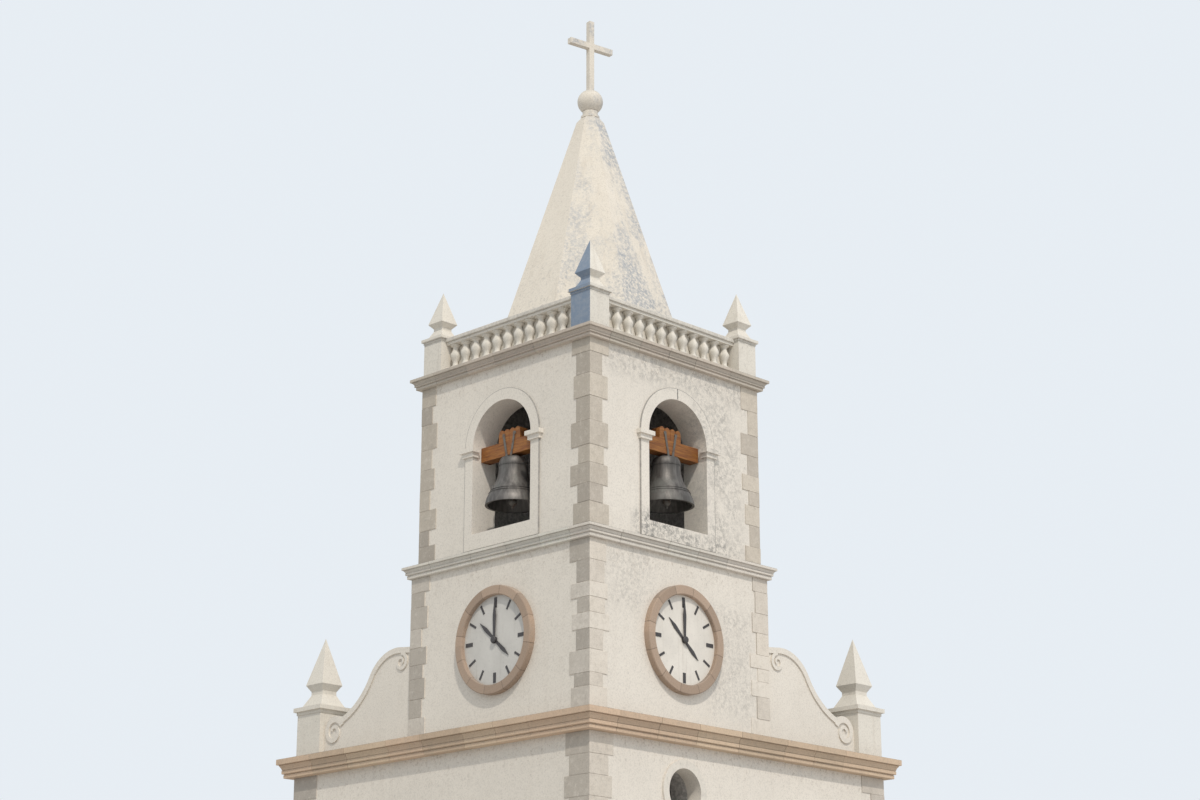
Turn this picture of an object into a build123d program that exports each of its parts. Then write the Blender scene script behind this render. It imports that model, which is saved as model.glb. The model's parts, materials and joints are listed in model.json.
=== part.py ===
# Whitewashed bell tower at the corner of a square church block.
# Millimetres, +Z up. The origin is the middle of the block's footprint, on the ground.
# The tower stands at the +X, -Y corner, so its two clock faces look along -Y (front) and +X (right).

import os
from math import atan2, cos, degrees, hypot, pi, radians, sin, sqrt

from build123d import *

# Base block
base_side = 7020
base_wall_height = 7430
base_wall_thickness = 600
ground_floor_thickness = 120
slab_bearing = 150

# Cornice round the base block
base_lower_step_height = 60
base_lower_step_projection = 40
base_upper_step_height = 65
base_upper_step_projection = 75
base_cove_height = 95
base_cove_foot_projection = 80
base_cove_head_projection = 150
base_fascia_height = 100
base_fascia_projection = 240
base_cornice_weathering = 30

# Round window over the doorway
oculus_radius = 360
oculus_centre_below_cornice = 720
oculus_surround_width = 130
oculus_surround_projection = 35

# Doorway in the right face
door_width = 1300
door_height = 2450
door_leaf_thickness = 70
door_leaf_setback = 260
door_plank_count = 7
door_plank_groove = 8
door_surround_width = 220
door_surround_projection = 50

# Clock stage
clock_stage_side = 4110
clock_stage_height = 2610
clock_stage_wall_thickness = 520

# Cornice over the clock stage
mid_lower_step_height = 45
mid_lower_step_projection = 35
mid_upper_step_height = 40
mid_upper_step_projection = 65
mid_cove_height = 45
mid_cove_foot_projection = 70
mid_cove_head_projection = 95
mid_fascia_height = 65
mid_fascia_projection = 135
mid_cornice_weathering = 70

# Clocks
clock_centre_height = 1300
clock_ring_radius = 865
clock_ring_width = 150
clock_ring_projection = 110
clock_ring_bevel = 12
clock_dial_projection = 35
hour_mark_outer_gap = 35
hour_mark_length = 160
hour_mark_width = 36
quarter_mark_width = 60
hour_mark_thickness = 8
hour_count = 12
hours_in_quarter = 3
arbor_radius = 14
arbor_root = 30
arbor_clearance = 0.3
hand_thickness = 10
hand_gap = 6
hub_seat_radius = 22
hub_seat_gap = 1
hub_cap_radius = 58
hub_cap_height = 26
hub_cap_rounding = 24
hour_hand_length = 470
hour_hand_tail = 430
hour_hand_hub_radius = 52
hour_hand_turn = 48
minute_hand_length = 640
minute_hand_tail = 60
minute_hand_hub_radius = 44
hand_shank_width = 34
hand_leaf_width = 66
hand_leaf_share = 0.62

# Bell stage
bell_stage_side = 3970
bell_stage_height = 3000
bell_stage_wall_thickness = 480
belfry_floor_thickness = 220

# Arched openings of the bell stage
arch_radius = 680
arch_sill_height = 260
arch_spring_height = 1710
blind_arch_depth = 160
surround_width = 190
surround_projection = 30
impost_lower_height = 75
impost_upper_height = 70
impost_lower_projection = 35
impost_upper_projection = 70
impost_depth_in_reveal = 70

# Cornice over the bell stage
top_lower_step_height = 45
top_lower_step_projection = 45
top_upper_step_height = 35
top_upper_step_projection = 75
top_cove_height = 45
top_cove_foot_projection = 80
top_cove_head_projection = 115
top_fascia_height = 60
top_fascia_projection = 165
top_cornice_weathering = 40

# Corner stones
quoin_projection = 15
base_quoin_long = 600
base_quoin_short = 430
base_quoin_courses = 21
clock_quoin_long = 450
clock_quoin_short = 325
clock_quoin_courses = 9
bell_quoin_long = 430
bell_quoin_short = 300
bell_quoin_courses = 7

# Bells: radius and height above the mouth at each place of the profile
bell_height = 790
bell_mouth_radius = 452
bell_lip_radius = 420
bell_lip_height = 130
bell_flare_radius = 326
bell_flare_height = 300
bell_waist_radius = 251
bell_waist_height = 490
bell_shoulder_radius = 238
bell_shoulder_height = 680
bell_crown_radius = 200
bell_wall = 42
bell_crown_thickness = 50
bell_ring_projection = 9
bell_ring_width = 14
bell_lower_ring_height = 195
bell_upper_ring_height = 235
bell_shoulder_ring_height = 655
bell_below_axis = 170
canon_length = 190
canon_depth = 110
canon_rounding = 40

# Headstocks
bell_axis_below_spring = 90
beam_height = 240
beam_depth = 190
beam_end_gap = 14
block_length = 500
block_height = 130
hump_rise = 75
hump_count = 4
hump_groove_radius = 9
gudgeon_radius = 24
gudgeon_reach = 60
gudgeon_flange_radius = 60
gudgeon_flange_thickness = 6
gudgeon_clearance = 0.3
bearing_width = 130
bearing_height = 150
bearing_depth = 90

# Iron arms that carry the bell
arm_width = 42
arm_thickness = 12
arm_foot_spacing = 100
arm_head_spacing = 250
arm_head_level = 225
arm_head_radius = 32
arm_rod_radius = 13
arm_rod_clearance = 0.3

# Clappers
clapper_pivot_drop = 120
clapper_pin_radius = 12
clapper_pin_clearance = 0.3
clapper_eye_radius = 34
clapper_eye_thickness = 24
clapper_rod_radius = 16
clapper_ball_radius = 70
clapper_ball_above_mouth = 70
clapper_tail_radius = 22
clapper_tail_length = 110
shackle_gap = 5
shackle_lug_thickness = 12
shackle_lug_width = 52

# Balustrade
roof_pedestal_side = 430
bottom_rail_height = 85
bottom_rail_depth = 230
top_rail_bed_height = 50
top_rail_bed_depth = 200
top_rail_cap_height = 65
top_rail_cap_depth = 260
baluster_height = 420
baluster_count = 12
baluster_foot_radius = 84
baluster_ankle_radius = 64
baluster_ankle_share = 0.16
baluster_belly_radius = 94
baluster_belly_share = 0.45
baluster_neck_radius = 54
baluster_neck_share = 0.82
baluster_plate_share = 0.06

# Pinnacles on the base block; those on the roof are the same moulding at the size of their pedestals
corner_pedestal_side = 610
corner_pedestal_height = 770
pinnacle_necking_height = 55
pinnacle_necking_projection = 14
pinnacle_cap_height = 70
pinnacle_cap_overhang = 55
pinnacle_shoulder_side = 540
pinnacle_shoulder_height = 225
pinnacle_neck_side = 300
pinnacle_neck_height = 60
pinnacle_bud_side = 440
pinnacle_bud_height = 110
pinnacle_spike_height = 820
roof_pinnacle_bud_side = 350

# Roof and spire
spire_drum_height = 400
spire_drum_apothem = 1480
spire_foot_apothem = 1530
spire_shoulder_apothem = 240
spire_shoulder_height = 118
spire_top_apothem = 150
spire_top_height = 4780
spire_shell_thickness = 170
spire_core_apothem = 60
spire_collar_radius = 165
spire_collar_height = 40
spire_neck_radius = 134
spire_neck_height = 90
ball_radius = 224
ball_seat_depth = 30

# Cross
cross_height = 1330
cross_bar_size = 100
cross_arm_length = 900
cross_arm_height = 850
cross_turn = -10
cross_socket_depth = 60

# Scroll walls. Shares are of the wall's run from the tower to the pedestal
scroll_thickness = 250
scroll_setback = 100
scroll_height = 1512
scroll_hump_distance_share = 0.190
scroll_hump_height = 1555
scroll_hump_radius_share = 0.343
scroll_hump_start = -10
scroll_dip_radius_share = 0.60
scroll_band_width = 95
scroll_relief = 25
lower_volute_radius_share = 0.120
lower_volute_foot = 75
lower_volute_start = 130
lower_volute_overlap = 25
upper_volute_start = 90
upper_volute_radius_share = 0.079
upper_volute_distance_share = 0.142
volute_arc_angle = 45
volute_arc_count = 11
volute_eye_share = 0.30
volute_band_share = 0.36

# Levels
base_cornice_level = base_wall_height
base_cornice_height = (
    base_lower_step_height + base_upper_step_height + base_cove_height + base_fascia_height
)
terrace_level = base_cornice_level + base_cornice_height + base_cornice_weathering
mid_cornice_level = terrace_level + clock_stage_height
mid_cornice_height = mid_lower_step_height + mid_upper_step_height + mid_cove_height + mid_fascia_height
belfry_level = mid_cornice_level + mid_cornice_height + mid_cornice_weathering
top_cornice_level = belfry_level + bell_stage_height
top_cornice_height = top_lower_step_height + top_upper_step_height + top_cove_height + top_fascia_height
roof_level = top_cornice_level + top_cornice_height + top_cornice_weathering
bell_axis_level = belfry_level + arch_spring_height - bell_axis_below_spring

# The tower's axis stands back from the corner by half the clock stage
tower_axis = (base_side - clock_stage_side) / 2
tower = Pos(tower_axis, -tower_axis, 0)
bell_plane = (bell_stage_side - bell_stage_wall_thickness) / 2
quarter_turns = (0, 90, 180, 270)
eighth_turn = 45
face_turns = {"front": 0, "right": 90, "back": 180, "left": 270}
open_faces = ("front", "right")

standing = (Align.CENTER, Align.CENTER, Align.MIN)
hanging = (Align.CENTER, Align.CENTER, Align.MAX)


def save(name, *solids):
    """Write the solids of one sub-part to its own file."""
    shape = solids[0] if len(solids) == 1 else Compound(children=list(solids))
    export_step(shape, f"parts/{name}.step")


def tower_face(turn, level):
    """Place of a tower face that is drawn looking along +Y, turned round the tower's axis."""
    return tower * Pos(0, 0, level) * Rot(0, 0, turn)


def slab(side_x, side_y, height):
    """Plain block standing on the XY plane."""
    return Box(side_x, side_y, height, align=standing)


def disc(radius, height):
    """Cylinder standing on the XY plane."""
    return Cylinder(radius, height, align=standing)


def stage_walls(side, thickness, height):
    """Four walls of a square stage. The front and back ones run from corner to corner."""
    walls = {}
    for name, turn in face_turns.items():
        length = side if name in ("front", "back") else side - 2 * thickness
        wall = Pos(0, (thickness - side) / 2, 0) * slab(length, thickness, height)
        walls[name] = Rot(0, 0, turn) * wall
    return walls


def cornice(side, thickness, steps, cove, fascia, rise, setback):
    """Moulded course round a square stage.

    From the bottom up it has two plain steps, a hollow cove, a fascia and a sloping top. Steps and fascia
    are (height, projection), and the cove is (height, projection at its foot, projection at its head).
    The course lies on the wall up to the slab's bearing, and its flat top carries what stands back by setback.
    """
    inner = slab_bearing - thickness
    outline = [(inner, 0)]
    level = 0
    for height, projection in steps:
        outline += [(projection, level), (projection, level + height)]
        level += height
    cove_height, foot_projection, head_projection = cove
    cove_foot = (foot_projection, level)
    cove_head = (head_projection, level + cove_height)
    level += cove_height
    fascia_height, fascia_projection = fascia
    fascia_foot = (fascia_projection, level)
    fascia_head = (fascia_projection, level + fascia_height)
    top = level + fascia_height + rise
    with BuildLine() as profile:
        Polyline(*outline, cove_foot)
        TangentArc(cove_foot, cove_head, tangent=(0, 1))
        Polyline(cove_head, fascia_foot, fascia_head, (-setback, top), (inner, top), (inner, 0))
    half = side / 2
    path = Polyline((0, -half), (half, -half), (half, half), (-half, half), (-half, -half), (0, -half))
    start = Plane((0, -half, 0), x_dir=(0, -1, 0), z_dir=(-1, 0, 0))
    return sweep(start * make_face(profile.line), path=path, transition=Transition.RIGHT)


def quoins(side, long, short, courses, height):
    """Facing of corner stones at +X, -Y of a square stage: long and short stones in turn."""
    course = height / courses
    corner = side / 2
    corner_align = (Align.MAX, Align.MIN, Align.MIN)
    facing = None
    for index in range(courses):
        reach = long if index % 2 == 0 else short
        outer = reach + quoin_projection
        stone = Pos(quoin_projection, -quoin_projection, 0) * Box(outer, outer, course, align=corner_align)
        stone = Pos(corner, -corner, index * course) * (stone - Box(reach, reach, course, align=corner_align))
        facing = stone if facing is None else facing + stone
    return facing


def arch_prism(radius, foot, spring, front, back):
    """Upright arched prism from y = front to y = back."""
    with BuildSketch(Plane.XZ) as outline:
        with BuildLine():
            Polyline((-radius, spring), (-radius, foot), (radius, foot), (radius, spring))
            RadiusArc((radius, spring), (-radius, spring), -radius)
        make_face()
    return Pos(0, back, 0) * extrude(outline.sketch, back - front)


# Base block
def base_block():
    """Walls, floor, corner stones, doorway and round window of the block."""
    walls = stage_walls(base_side, base_wall_thickness, base_wall_height)
    oculus_level = base_wall_height - oculus_centre_below_cornice
    face = base_side / 2
    through = 3 * base_wall_thickness
    oculus_axis = Pos(face, -tower_axis, oculus_level) * Rot(0, 90, 0)
    doorway = Pos(face, -tower_axis, 0) * slab(through, door_width, door_height)
    walls["right"] = walls["right"] - oculus_axis * Cylinder(oculus_radius, through) - doorway
    for name, wall in walls.items():
        save(f"base_wall_{name}", wall)

    inside = base_side - 2 * base_wall_thickness
    threshold = Pos(face - base_wall_thickness / 2, -tower_axis, 0) * slab(
        base_wall_thickness, door_width, ground_floor_thickness
    )
    save("ground_floor", slab(inside, inside, ground_floor_thickness) + threshold)

    stones = quoins(base_side, base_quoin_long, base_quoin_short, base_quoin_courses, base_wall_height)
    save("base_quoins", *[Rot(0, 0, turn) * stones for turn in quarter_turns])

    ring = disc(oculus_radius + oculus_surround_width, oculus_surround_projection)
    ring = ring - Cylinder(oculus_radius, 3 * oculus_surround_projection)
    save("oculus_surround", oculus_axis * ring)

    frame_width = door_width + 2 * door_surround_width
    frame = slab(door_surround_projection, frame_width, door_height + door_surround_width)
    frame = frame - slab(3 * door_surround_projection, door_width, door_height)
    save("door_surround", Pos(face + door_surround_projection / 2, -tower_axis, 0) * frame)

    leaf_height = door_height - ground_floor_thickness
    leaf = slab(door_leaf_thickness, door_width, leaf_height)
    groove = slab(door_plank_groove, door_plank_groove, leaf_height)
    plank = door_width / door_plank_count
    for index in range(1, door_plank_count):
        leaf -= Pos(door_leaf_thickness / 2, index * plank - door_width / 2, 0) * groove
    save("door_leaf", Pos(face - door_leaf_setback, -tower_axis, ground_floor_thickness) * leaf)

    course = cornice(
        base_side,
        base_wall_thickness,
        (
            (base_lower_step_height, base_lower_step_projection),
            (base_upper_step_height, base_upper_step_projection),
        ),
        (base_cove_height, base_cove_foot_projection, base_cove_head_projection),
        (base_fascia_height, base_fascia_projection),
        base_cornice_weathering,
        0,
    )
    save("base_cornice", Pos(0, 0, base_cornice_level) * course)
    bearing = inside + 2 * slab_bearing
    terrace = slab(bearing, bearing, terrace_level - base_cornice_level)
    save("terrace_slab", Pos(0, 0, base_cornice_level) * terrace)


# Clock stage
def clock_stage():
    """Plain walls and corner stones below the middle cornice, and the belfry's floor."""
    place = tower * Pos(0, 0, terrace_level)
    walls = stage_walls(clock_stage_side, clock_stage_wall_thickness, clock_stage_height)
    for name, wall in walls.items():
        save(f"clock_stage_wall_{name}", place * wall)
    stones = quoins(
        clock_stage_side, clock_quoin_long, clock_quoin_short, clock_quoin_courses, clock_stage_height
    )
    save("clock_stage_quoins", *[tower_face(turn, terrace_level) * stones for turn in quarter_turns])
    course = cornice(
        clock_stage_side,
        clock_stage_wall_thickness,
        (
            (mid_lower_step_height, mid_lower_step_projection),
            (mid_upper_step_height, mid_upper_step_projection),
        ),
        (mid_cove_height, mid_cove_foot_projection, mid_cove_head_projection),
        (mid_fascia_height, mid_fascia_projection),
        mid_cornice_weathering,
        (clock_stage_side - bell_stage_side) / 2,
    )
    save("mid_cornice", tower * Pos(0, 0, mid_cornice_level) * course)
    inside = clock_stage_side - 2 * clock_stage_wall_thickness + 2 * slab_bearing
    floor = slab(inside, inside, belfry_floor_thickness)
    save("belfry_floor", tower * Pos(0, 0, mid_cornice_level) * floor)


def hand_leaf(length, reach_start):
    """Lance-shaped half of a hand that lies along +Y from reach_start to length."""
    shank = hand_shank_width / 2
    leaf = hand_leaf_width / 2
    widest = length * hand_leaf_share
    outline = Polyline(
        (-shank, reach_start),
        (shank, reach_start),
        (leaf, widest),
        (0, length),
        (-leaf, widest),
        (-shank, reach_start),
    )
    return extrude(make_face(outline), hand_thickness)


def clock_hand(length, tail, hub_radius, lance_tail):
    """Clock hand lying on the XY plane, pointing along +Y, bored for the arbor."""
    hand = hand_leaf(length, 0) + disc(hub_radius, hand_thickness)
    if lance_tail:
        hand += Rot(0, 0, 180) * hand_leaf(tail, 0)
    else:
        hand += Pos(0, -tail / 2, 0) * slab(hand_shank_width, tail, hand_thickness)
    return hand - Cylinder(arbor_radius + arbor_clearance, 3 * hand_thickness)


def hub_cap():
    """Domed cap on the end of the arbor."""
    cap = disc(hub_cap_radius, hub_cap_height)
    rim = cap.edges().filter_by(GeomType.CIRCLE).group_by(Axis.Z)[-1]
    return fillet(rim, hub_cap_rounding)


def clocks():
    """Stone ring, dial, hour marks and two hands on the front and right faces."""
    dial_radius = clock_ring_radius - clock_ring_width
    hour_level = clock_dial_projection + hand_gap
    minute_level = hour_level + hand_thickness + hand_gap
    cap_level = minute_level + hand_thickness + hand_gap
    arbor_foot = clock_dial_projection - arbor_root

    ring = disc(clock_ring_radius, clock_ring_projection)
    ring = ring - Cylinder(dial_radius, 3 * clock_ring_projection)
    rims = ring.edges().filter_by(GeomType.CIRCLE).group_by(Axis.Z)[-1]
    ring = chamfer(rims, clock_ring_bevel)
    dial = disc(dial_radius, clock_dial_projection)
    dial = dial - Pos(0, 0, arbor_foot) * disc(arbor_radius, arbor_root)
    seat = Pos(0, 0, clock_dial_projection) * disc(hub_seat_radius, hand_gap - hub_seat_gap)
    arbor = Pos(0, 0, arbor_foot) * disc(arbor_radius, cap_level - arbor_foot)
    arbor = arbor + seat + Pos(0, 0, cap_level) * hub_cap()

    reach = dial_radius - hour_mark_outer_gap - hour_mark_length / 2
    bars = []
    for hour in range(hour_count):
        width = quarter_mark_width if hour % hours_in_quarter == 0 else hour_mark_width
        bar = Pos(0, reach, clock_dial_projection) * slab(width, hour_mark_length, hour_mark_thickness)
        bars.append(Rot(0, 0, 360 * hour / hour_count) * bar)

    hour_hand = clock_hand(hour_hand_length, hour_hand_tail, hour_hand_hub_radius, True)
    hour_hand = Pos(0, 0, hour_level) * Rot(0, 0, hour_hand_turn) * hour_hand
    minute_hand = clock_hand(minute_hand_length, minute_hand_tail, minute_hand_hub_radius, False)
    minute_hand = Pos(0, 0, minute_level) * minute_hand

    places = {}
    for name in open_faces:
        centre = tower_face(face_turns[name], terrace_level + clock_centre_height)
        places[name] = centre * Pos(0, -clock_stage_side / 2, 0) * Rot(90, 0, 0)
    save("clock_rings", *[place * ring for place in places.values()])
    save("clock_dials", *[place * dial for place in places.values()])
    save("clock_arbors", *[place * arbor for place in places.values()])
    save("clock_hour_marks", *[place * bar for place in places.values() for bar in bars])
    for name, place in places.items():
        save(f"{name}_hour_hand", place * hour_hand)
        save(f"{name}_minute_hand", place * minute_hand)


# Bell stage
def imposts():
    """Two-step mouldings where the arch springs, wrapped round the front edge of both jambs."""
    outer_face = bell_stage_side / 2
    back = outer_face - impost_depth_in_reveal
    upper_level = arch_spring_height - impost_upper_height
    lower_level = upper_level - impost_lower_height
    steps = (
        (lower_level, impost_lower_height, impost_lower_projection),
        (upper_level, impost_upper_height, impost_upper_projection),
    )
    blocks = []
    for side in (-1, 1):
        block = None
        for level, height, projection in steps:
            inner_edge = arch_radius - projection
            outer_edge = arch_radius + surround_width + projection
            front = outer_face + surround_projection + projection
            step = Pos(side * (inner_edge + outer_edge) / 2, -(front + back) / 2, level) * slab(
                outer_edge - inner_edge, front - back, height
            )
            block = step if block is None else block + step
        blocks.append(block)
    return blocks


def bearing_block():
    """Iron block let into a jamb at +X, its face flush with the reveal, at the bell's axis."""
    middle = arch_radius + bearing_depth / 2
    return Pos(middle, 0, 0) * Box(bearing_depth, bearing_width, bearing_height)


def bell_stage():
    """Walls with two open and two blind arches, their surrounds and the corner stones."""
    outer_face = bell_stage_side / 2
    axis_height = arch_spring_height - bell_axis_below_spring
    band_front = -outer_face - surround_projection
    band = arch_prism(arch_radius + surround_width, 0, arch_spring_height, band_front, -outer_face)
    band = band - arch_prism(
        arch_radius, arch_sill_height, arch_spring_height, band_front - surround_projection, 0
    )
    surround = band
    for block in imposts():
        surround = surround + block
    surrounds = []
    walls = stage_walls(bell_stage_side, bell_stage_wall_thickness, bell_stage_height)
    for name, turn in face_turns.items():
        is_open = name in open_faces
        depth = 2 * bell_stage_wall_thickness if is_open else blind_arch_depth
        opening = arch_prism(
            arch_radius, arch_sill_height, arch_spring_height, -outer_face - depth, depth - outer_face
        )
        wall = walls[name] - Rot(0, 0, turn) * opening
        for block in imposts():
            wall = wall - Rot(0, 0, turn) * block
        if is_open:
            for side_turn in (0, 180):
                pocket = Pos(0, -bell_plane, axis_height) * Rot(0, 0, side_turn) * bearing_block()
                wall = wall - Rot(0, 0, turn) * pocket
        save(f"belfry_wall_{name}", tower * Pos(0, 0, belfry_level) * wall)
        surrounds.append(tower_face(turn, belfry_level) * surround)
    save("arch_surrounds", *surrounds)
    stones = quoins(
        bell_stage_side, bell_quoin_long, bell_quoin_short, bell_quoin_courses, bell_stage_height
    )
    save("belfry_quoins", *[tower_face(turn, belfry_level) * stones for turn in quarter_turns])


# Bells, drawn with the headstock's axis along X through the origin
def bell_form(outset, top):
    """Solid under the bell's profile, moved outwards by outset and closed at the level top."""
    mouth = -bell_below_axis - bell_height
    profile = [
        (bell_mouth_radius + outset, mouth),
        (bell_lip_radius + outset, mouth + bell_lip_height),
        (bell_flare_radius + outset, mouth + bell_flare_height),
        (bell_waist_radius + outset, mouth + bell_waist_height),
        (bell_shoulder_radius + outset, mouth + bell_shoulder_height),
    ]
    crown_edge = (bell_crown_radius + outset, top)
    with BuildLine() as outline:
        Spline(*profile)
        TangentArc(profile[-1], crown_edge, tangent=(0, 1))
        Polyline(crown_edge, (0, top), (0, mouth), profile[0])
    return revolve(Plane.XZ * make_face(outline.line), Axis.Z)


def bell():
    """Cast bell with raised rings, a canon block on its crown and a shackle for the clapper."""
    crown = -bell_below_axis
    mouth = crown - bell_height
    body = bell_form(0, crown)
    skin = bell_form(bell_ring_projection, crown)
    for height in (bell_lower_ring_height, bell_upper_ring_height, bell_shoulder_ring_height):
        body += skin & Pos(0, 0, mouth + height) * disc(2 * bell_mouth_radius, bell_ring_width)
    body -= bell_form(-bell_wall, crown - bell_crown_thickness)

    canon_height = bell_below_axis - beam_height / 2
    canon = slab(canon_length, canon_depth, canon_height)
    canon = Pos(0, 0, crown) * fillet(canon.edges().filter_by(Axis.Z), canon_rounding)
    for side in (-1, 1):
        canon -= arm_foot(side) * Rot(90, 0, 0) * Cylinder(
            arm_rod_radius + arm_rod_clearance, 2 * canon_depth
        )

    inner_crown = crown - bell_crown_thickness
    lug_height = clapper_pivot_drop + 2 * clapper_pin_radius
    lug_middle = (clapper_eye_thickness + shackle_lug_thickness) / 2 + shackle_gap
    shackle = Pos(0, 0, inner_crown - clapper_pivot_drop) * Rot(0, 90, 0) * Cylinder(
        clapper_pin_radius, 2 * lug_middle
    )
    for side in (-1, 1):
        shackle += Pos(side * lug_middle, 0, inner_crown) * Box(
            shackle_lug_thickness, shackle_lug_width, lug_height, align=hanging
        )
    return body + canon + shackle


def clapper():
    """Forged clapper: eye, rod, ball and tail."""
    pivot = -bell_below_axis - bell_crown_thickness - clapper_pivot_drop
    ball_centre = -bell_below_axis - bell_height + clapper_ball_above_mouth
    eye = Cylinder(clapper_eye_radius, clapper_eye_thickness)
    eye = eye - Cylinder(clapper_pin_radius + clapper_pin_clearance, 2 * clapper_eye_thickness)
    rod_top = pivot - (clapper_eye_radius + clapper_pin_radius) / 2
    rod = Pos(0, 0, ball_centre) * disc(clapper_rod_radius, rod_top - ball_centre)
    ball = Pos(0, 0, ball_centre) * Sphere(clapper_ball_radius)
    tail = Pos(0, 0, ball_centre) * Cylinder(clapper_tail_radius, clapper_tail_length, align=hanging)
    return Pos(0, 0, pivot) * Rot(0, 90, 0) * eye + rod + ball + tail


def headstock():
    """Wooden beam with a raised block whose top is cut into round humps."""
    beam = Box(2 * (arch_radius - beam_end_gap), beam_depth, beam_height)
    block_foot = beam_height / 2
    solid = beam + Pos(0, 0, block_foot) * slab(block_length, beam_depth, block_height)
    hump = block_length / hump_count
    dome = Rot(90, 0, 0) * Cylinder(hump / 2, beam_depth) & slab(hump, beam_depth, hump)
    dome = scale(dome, by=(1, 1, 2 * hump_rise / hump))
    for index in range(hump_count):
        across = (index + 0.5) * hump - block_length / 2
        solid += Pos(across, 0, block_foot + block_height) * dome
    groove = disc(hump_groove_radius, block_height + hump_rise)
    for index in range(1, hump_count):
        for face in (-1, 1):
            place = Pos(index * hump - block_length / 2, face * beam_depth / 2, block_foot)
            solid -= place * groove
    return solid


def gudgeons():
    """Iron flanges and pins on which the headstock turns in its bearings."""
    pin = disc(gudgeon_radius, beam_end_gap + gudgeon_reach) + disc(
        gudgeon_flange_radius, gudgeon_flange_thickness
    )
    end = arch_radius - beam_end_gap
    return [Rot(0, 0, turn) * Pos(end, 0, 0) * Rot(0, 90, 0) * pin for turn in (0, 180)]


def arm_foot(side):
    """Middle of the rod through the canon block on one side."""
    return Pos(side * arm_foot_spacing / 2, 0, -(bell_below_axis + beam_height / 2) / 2)


def arms(side):
    """Pair of flat iron arms on both faces of the headstock, joined by a rod through the canon block."""
    foot = arm_foot(side).position
    head = Vector(side * arm_head_spacing / 2, 0, arm_head_level)
    lean = degrees(atan2(head.X - foot.X, head.Z - foot.Z))
    length = hypot(head.X - foot.X, head.Z - foot.Z)
    bar = Pos(*foot) * Rot(0, lean, 0) * slab(arm_width, arm_thickness, length)
    for end, radius in ((foot, arm_width / 2), (head, arm_head_radius)):
        bar += Pos(*end) * Rot(90, 0, 0) * Cylinder(radius, arm_thickness)
    offset = (beam_depth + arm_thickness) / 2
    rod = Pos(*foot) * Rot(90, 0, 0) * Cylinder(arm_rod_radius, 2 * offset)
    return Pos(0, offset, 0) * bar + Pos(0, -offset, 0) * bar + rod


def bearing():
    """Bearing block with the bore that the gudgeon turns in."""
    bore = Pos(arch_radius, 0, 0) * Rot(0, 90, 0) * Cylinder(
        gudgeon_radius + gudgeon_clearance, 2 * gudgeon_reach + 2 * gudgeon_flange_thickness
    )
    return bearing_block() - bore


def bells():
    """Both bells, each with headstock, irons and clapper, at rest in the open arches."""
    bearings = []
    for name in open_faces:
        place = tower_face(face_turns[name], bell_axis_level) * Pos(0, -bell_plane, 0)
        save(f"{name}_bell", place * bell())
        save(f"{name}_headstock", place * headstock())
        irons = [*gudgeons(), arms(-1), arms(1)]
        save(f"{name}_bell_irons", *[place * solid for solid in irons])
        save(f"{name}_clapper", place * clapper())
        bearings += [place * Rot(0, 0, turn) * bearing() for turn in (0, 180)]
    save("bell_bearings", *bearings)


# Roof
def baluster():
    """Eight-sided vase baluster, standing on the XY plane."""
    levels = (
        (0, baluster_foot_radius),
        (baluster_plate_share, baluster_foot_radius),
        (baluster_ankle_share, baluster_ankle_radius),
        (baluster_belly_share, baluster_belly_radius),
        (baluster_neck_share, baluster_neck_radius),
        (1 - baluster_plate_share, baluster_foot_radius),
        (1, baluster_foot_radius),
    )
    sections = [
        Pos(0, 0, share * baluster_height) * Rot(0, 0, eighth_turn / 2) * RegularPolygon(radius, 8)
        for share, radius in levels
    ]
    return loft(sections, ruled=True)


def balustrade():
    """One side of the balustrade between two pedestals, on the front."""
    run = bell_stage_side - 2 * roof_pedestal_side
    pitch = run / baluster_count
    post = baluster()
    panel = slab(run, bottom_rail_depth, bottom_rail_height)
    for index in range(baluster_count):
        panel += Pos((index + 0.5) * pitch - run / 2, 0, bottom_rail_height) * post
    bed_level = bottom_rail_height + baluster_height
    panel += Pos(0, 0, bed_level) * slab(run, top_rail_bed_depth, top_rail_bed_height)
    cap_level = bed_level + top_rail_bed_height
    panel += Pos(0, 0, cap_level) * slab(run, top_rail_cap_depth, top_rail_cap_height)
    return Pos(0, (roof_pedestal_side - bell_stage_side) / 2, 0) * panel


def pinnacle(side, height, bud_side):
    """Square pedestal with cap slab, swelling shoulder, neck, bud and pyramid.

    Two prisms of one outline, at right angles, leave its mitred form where they cross.
    """
    size = side / corner_pedestal_side
    necking = side / 2 + pinnacle_necking_projection * size
    necking_foot = height - pinnacle_necking_height * size
    cap = side / 2 + pinnacle_cap_overhang * size
    cap_top = height + pinnacle_cap_height * size
    shoulder = pinnacle_shoulder_side / 2 * size
    neck = pinnacle_neck_side / 2 * size
    neck_foot = cap_top + pinnacle_shoulder_height * size
    neck_top = neck_foot + pinnacle_neck_height * size
    bud_top = neck_top + pinnacle_bud_height * size
    tip = bud_top + pinnacle_spike_height * size
    with BuildLine() as outline:
        Polyline((0, 0), (side / 2, 0), (side / 2, necking_foot), (necking, necking_foot), (necking, height))
        Polyline((necking, height), (cap, height), (cap, cap_top), (shoulder, cap_top))
        TangentArc((shoulder, cap_top), (neck, neck_foot), tangent=(-neck / shoulder, 1))
        Polyline((neck, neck_foot), (neck, neck_top), (bud_side / 2, bud_top), (0, tip), (0, 0))
    half = make_face(outline.line)
    prism = extrude(Plane.XZ * (half + mirror(half, Plane.YZ)), cap, both=True)
    return prism & Rot(0, 0, 90) * prism


def octagon(apothem, level):
    """Octagon with flats square to the axes."""
    circumradius = apothem / cos(pi / 8)
    return Pos(0, 0, level) * Rot(0, 0, eighth_turn / 2) * RegularPolygon(circumradius, 8)


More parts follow.
